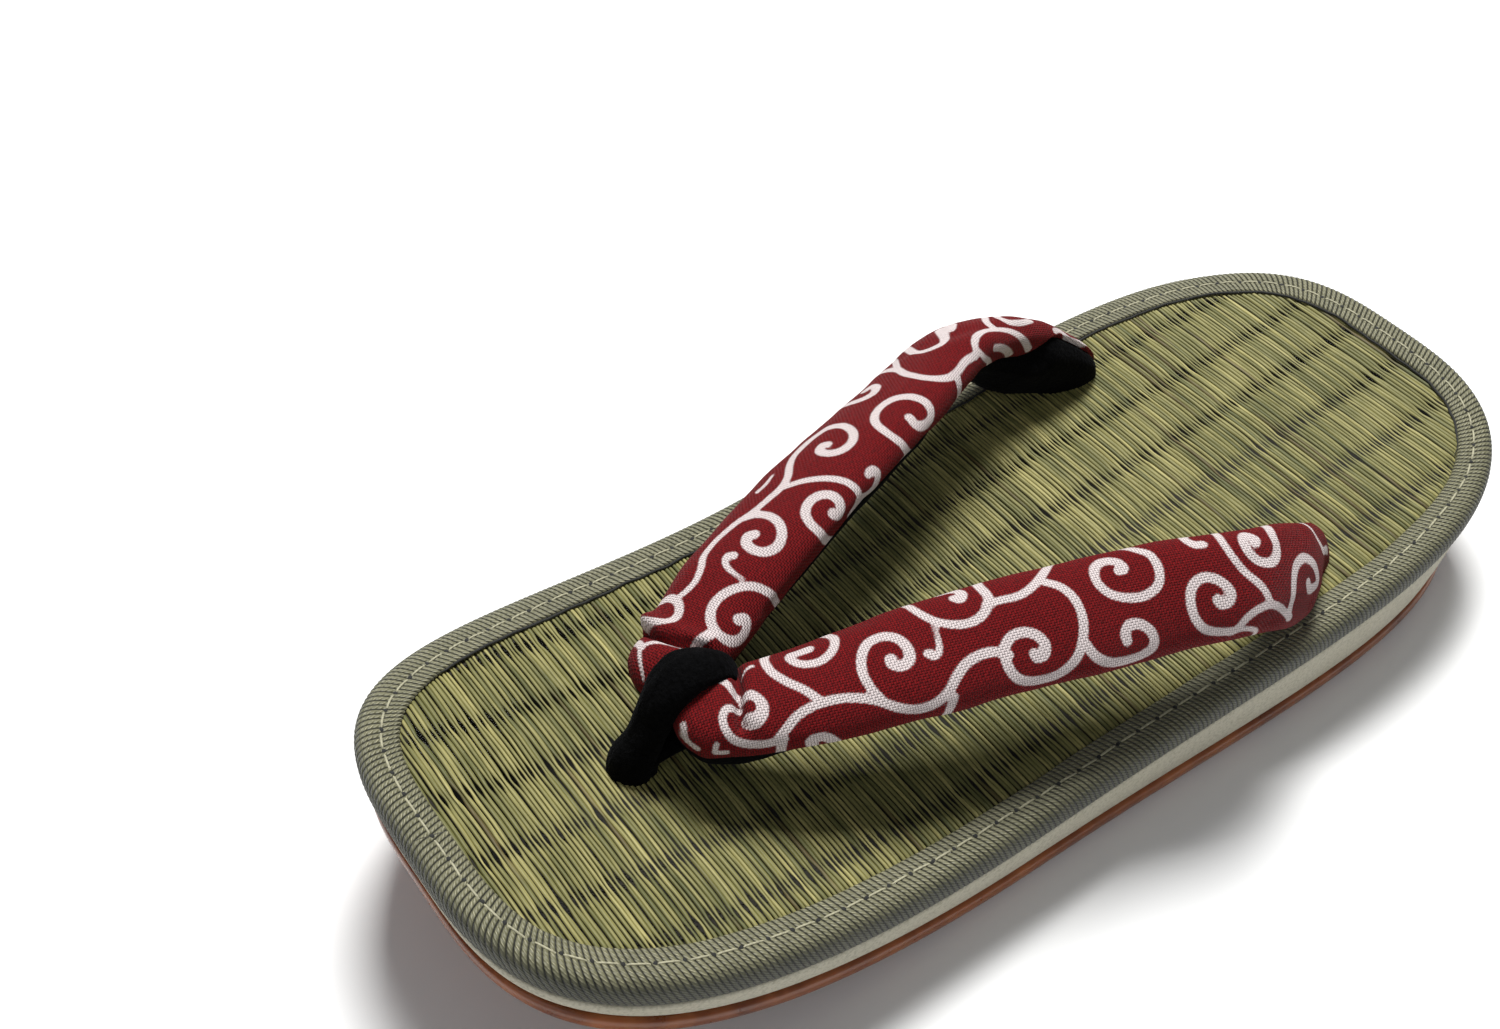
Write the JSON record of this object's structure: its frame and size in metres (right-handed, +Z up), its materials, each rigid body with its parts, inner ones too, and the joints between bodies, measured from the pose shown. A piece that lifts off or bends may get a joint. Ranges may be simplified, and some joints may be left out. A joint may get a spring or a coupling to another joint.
{
  "type": "toe post sandal",
  "caption": "Flat-sided toe post sandal with a woven mat footbed, taped edge, padded V strap, foam wedge and gum rubber outsole.",
  "frame": {"origin": "centre of the bounding box at floor level, under the middle of the sole", "axes": "+Y to the toe, +X to the wearer's right, +Z up"},
  "size_m": [0.1016, 0.2594, 0.0561],
  "materials": {
    "gum_rubber": "caramel gum rubber, slightly clear and glossy",
    "foam": "off-white moulded foam with a fine speckle",
    "rush_mat": "dried rush stalks, olive and straw, soft sheen",
    "ribbed_tape": "grey-green ribbed woven tape, pale stitches",
    "printed_cloth": "deep red plain-weave cotton with white scrolls",
    "velvet": "black short-pile velvet"
  },
  "bodies": {
    "root": {"outsole": "gum_rubber", "midsole": "foam", "footbed_mat": "rush_mat", "binding_tape": "ribbed_tape", "strap_padding": "velvet", "strap_cover": "printed_cloth", "toe_post": "velvet"}
  },
  "joints": []
}
